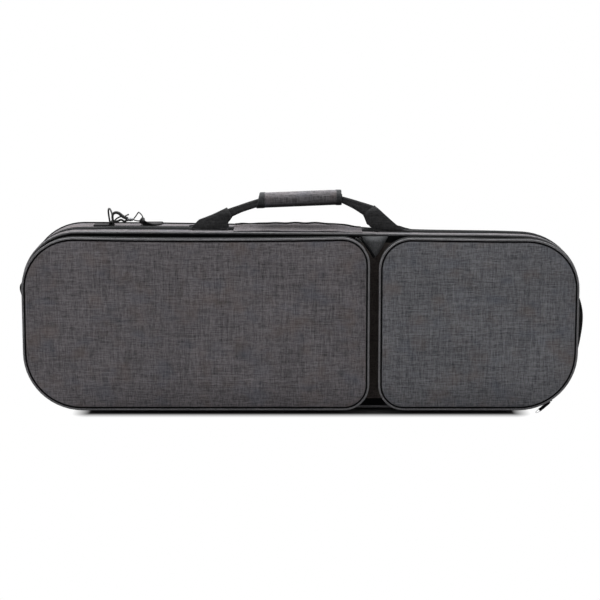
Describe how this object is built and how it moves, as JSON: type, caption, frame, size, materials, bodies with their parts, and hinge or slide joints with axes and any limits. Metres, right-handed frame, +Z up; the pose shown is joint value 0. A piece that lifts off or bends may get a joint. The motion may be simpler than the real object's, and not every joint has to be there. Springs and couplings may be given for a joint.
{
  "type": "violin case",
  "caption": "Oblong soft violin case standing on its long side, with two zipped front pockets, a webbing carrying handle with a padded grip, and a shoulder strap.",
  "frame": {"origin": "centre of the base, on the surface the case stands on", "axes": "+X along the case to its grab handle end, +Y from the pockets to the back, +Z up"},
  "size_m": [0.8098, 0.1564, 0.3173],
  "materials": {
    "shell_fabric": "heather grey woven cloth",
    "piping_fabric": "grey piping",
    "webbing": "black webbing",
    "zip_tape": "black zip tape and coil",
    "lining": "plush lining over foam",
    "black_metal": "satin black",
    "bright_metal": "bright wire",
    "rubber": "matt",
    "plastic": "matt"
  },
  "bodies": {
    "case_body": {"back_wall": "shell_fabric", "back_panel": "shell_fabric", "back_piping": "piping_fabric", "main_tape_back": "zip_tape", "spine_leaf_back": "webbing", "spine_cord": "webbing", "back_feet": "rubber", "rear_handle_patches": "webbing", "instrument_bed": "lining", "neck_band": "lining", "ring_tabs": "webbing", "snap_hooks": "black_metal", "strap_loops": "black_metal", "shoulder_strap": "webbing", "grab_handle": "webbing"},
    "lid": {"lid_wall": "shell_fabric", "lid_panel": "shell_fabric", "lid_piping": "piping_fabric", "lid_lining": "lining", "main_tape_lid": "zip_tape", "spine_leaf_lid": "webbing", "lid_feet": "rubber", "left_pocket_wall": "shell_fabric", "left_pocket_tape": "zip_tape", "right_pocket_wall": "shell_fabric", "right_pocket_tape": "zip_tape", "front_handle_patches": "webbing", "bow_rests": "lining"},
    "left_flap": {"left_panel": "shell_fabric", "left_piping": "piping_fabric", "left_front_wall": "shell_fabric", "left_front_tape": "zip_tape"},
    "right_flap": {"right_panel": "shell_fabric", "right_piping": "piping_fabric", "right_front_wall": "shell_fabric", "right_front_tape": "zip_tape"},
    "front_handle": {"front_handle_webbing": "webbing", "grip_wrap": "shell_fabric"},
    "rear_handle": {"rear_handle_webbing": "webbing", "grip_closure": "shell_fabric"},
    "saddle": {"saddle_flap": "shell_fabric"},
    "main_zip_slider": {"main_slider": "black_metal"},
    "main_zip_pull": {"main_pull": "black_metal"},
    "left_zip_slider": {"left_pocket_slider": "black_metal"},
    "left_zip_pull": {"left_pocket_pull": "black_metal"},
    "right_zip_slider": {"right_pocket_slider": "black_metal"},
    "right_zip_pull": {"right_pocket_pull": "black_metal", "right_pull_loop": "bright_metal"},
    "accessory_lid": {"box_lid": "lining"},
    "low_spinner": {"bow_spinner_low": "plastic"},
    "high_spinner": {"bow_spinner_high": "plastic"},
    "left_strap_ring": {"left_ring": "black_metal"},
    "right_strap_ring": {"right_ring": "black_metal"},
    "left_lever": {"left_hook_lever": "black_metal"},
    "right_lever": {"right_hook_lever": "black_metal"}
  },
  "joints": [
    {"name": "lid_hinge", "type": "hinge", "parent": "case_body", "child": "lid", "pos_m": [-0.00095, -0.01188, 0.003], "axis": [1, 0, 0], "range_deg": [0, 100]},
    {"name": "left_pocket_hinge", "type": "hinge", "parent": "lid", "child": "left_flap", "pos_m": [-0.00095, -0.06418, 0.0075], "axis": [1, 0, 0], "range_deg": [0, 80]},
    {"name": "right_pocket_hinge", "type": "hinge", "parent": "lid", "child": "right_flap", "pos_m": [-0.00095, -0.06418, 0.0075], "axis": [1, 0, 0], "range_deg": [0, 80]},
    {"name": "front_handle_hinge", "type": "hinge", "parent": "lid", "child": "front_handle", "pos_m": [-0.00095, -0.02888, 0.2645], "axis": [1, 0, 0], "range_deg": [0, 85]},
    {"name": "rear_handle_hinge", "type": "hinge", "parent": "case_body", "child": "rear_handle", "pos_m": [-0.00095, 0.00512, 0.2645], "axis": [-1, 0, 0], "range_deg": [0, 85]},
    {"name": "saddle_hinge", "type": "hinge", "parent": "case_body", "child": "saddle", "pos_m": [-0.00095, 0.02972, 0.2643], "axis": [-1, 0, 0], "range_deg": [0, 20]},
    {"name": "main_slider_travel", "type": "hinge", "parent": "case_body", "child": "main_zip_slider", "pos_m": [-0.32095, -0.01188, 0.183], "axis": [0, 1, 0], "range_deg": [0, 88]},
    {"name": "main_pull_swing", "type": "hinge", "parent": "main_zip_slider", "child": "main_zip_pull", "pos_m": [-0.4029, -0.01188, 0.183], "axis": [0, 1, 0], "range_deg": [0, 150]},
    {"name": "left_slider_travel", "type": "hinge", "parent": "lid", "child": "left_zip_slider", "pos_m": [0.06055, -0.06403, 0.2205], "axis": [0, -1, 0], "range_deg": [0, 32]},
    {"name": "left_pull_swing", "type": "hinge", "parent": "left_zip_slider", "child": "left_zip_pull", "pos_m": [0.08317, -0.06403, 0.25404], "axis": [0, -1, 0], "range_deg": [0, 50]},
    {"name": "right_slider_travel", "type": "hinge", "parent": "lid", "child": "right_zip_slider", "pos_m": [0.30555, -0.06403, 0.0955], "axis": [0, -1, 0], "range_deg": [0, 54]},
    {"name": "right_pull_swing", "type": "hinge", "parent": "right_zip_slider", "child": "right_zip_pull", "pos_m": [0.35869, -0.06403, 0.01961], "axis": [0, -1, 0], "range_deg": [0, 100]},
    {"name": "accessory_lid_hinge", "type": "hinge", "parent": "case_body", "child": "accessory_lid", "pos_m": [-0.00095, 0.00862, 0.0198], "axis": [1, 0, 0], "range_deg": [0, 85]},
    {"name": "low_spinner_turn", "type": "hinge", "parent": "lid", "child": "low_spinner", "pos_m": [-0.29695, -0.01188, 0.071], "axis": [0, 1, 0], "range_deg": [-90, 90]},
    {"name": "high_spinner_turn", "type": "hinge", "parent": "lid", "child": "high_spinner", "pos_m": [-0.29695, -0.01188, 0.195], "axis": [0, 1, 0], "range_deg": [-90, 90]},
    {"name": "left_ring_swing", "type": "hinge", "parent": "case_body", "child": "left_strap_ring", "pos_m": [-0.27695, 0.02212, 0.265], "axis": [0, 1, 0], "range_deg": [0, 6]},
    {"name": "right_ring_swing", "type": "hinge", "parent": "case_body", "child": "right_strap_ring", "pos_m": [0.27505, 0.06872, 0.227], "axis": [-1, 0, 0], "range_deg": [0, 2.5]},
    {"name": "left_lever_slide", "type": "slide", "parent": "case_body", "child": "left_lever", "axis": [0.9174, 0, -0.3979], "range_m": [0, 0.0035], "stiffness_N_per_m": 100},
    {"name": "right_lever_slide", "type": "slide", "parent": "case_body", "child": "right_lever", "axis": [0, -0.0932, -0.9956], "range_m": [0, 0.0035], "stiffness_N_per_m": 100}
  ]
}
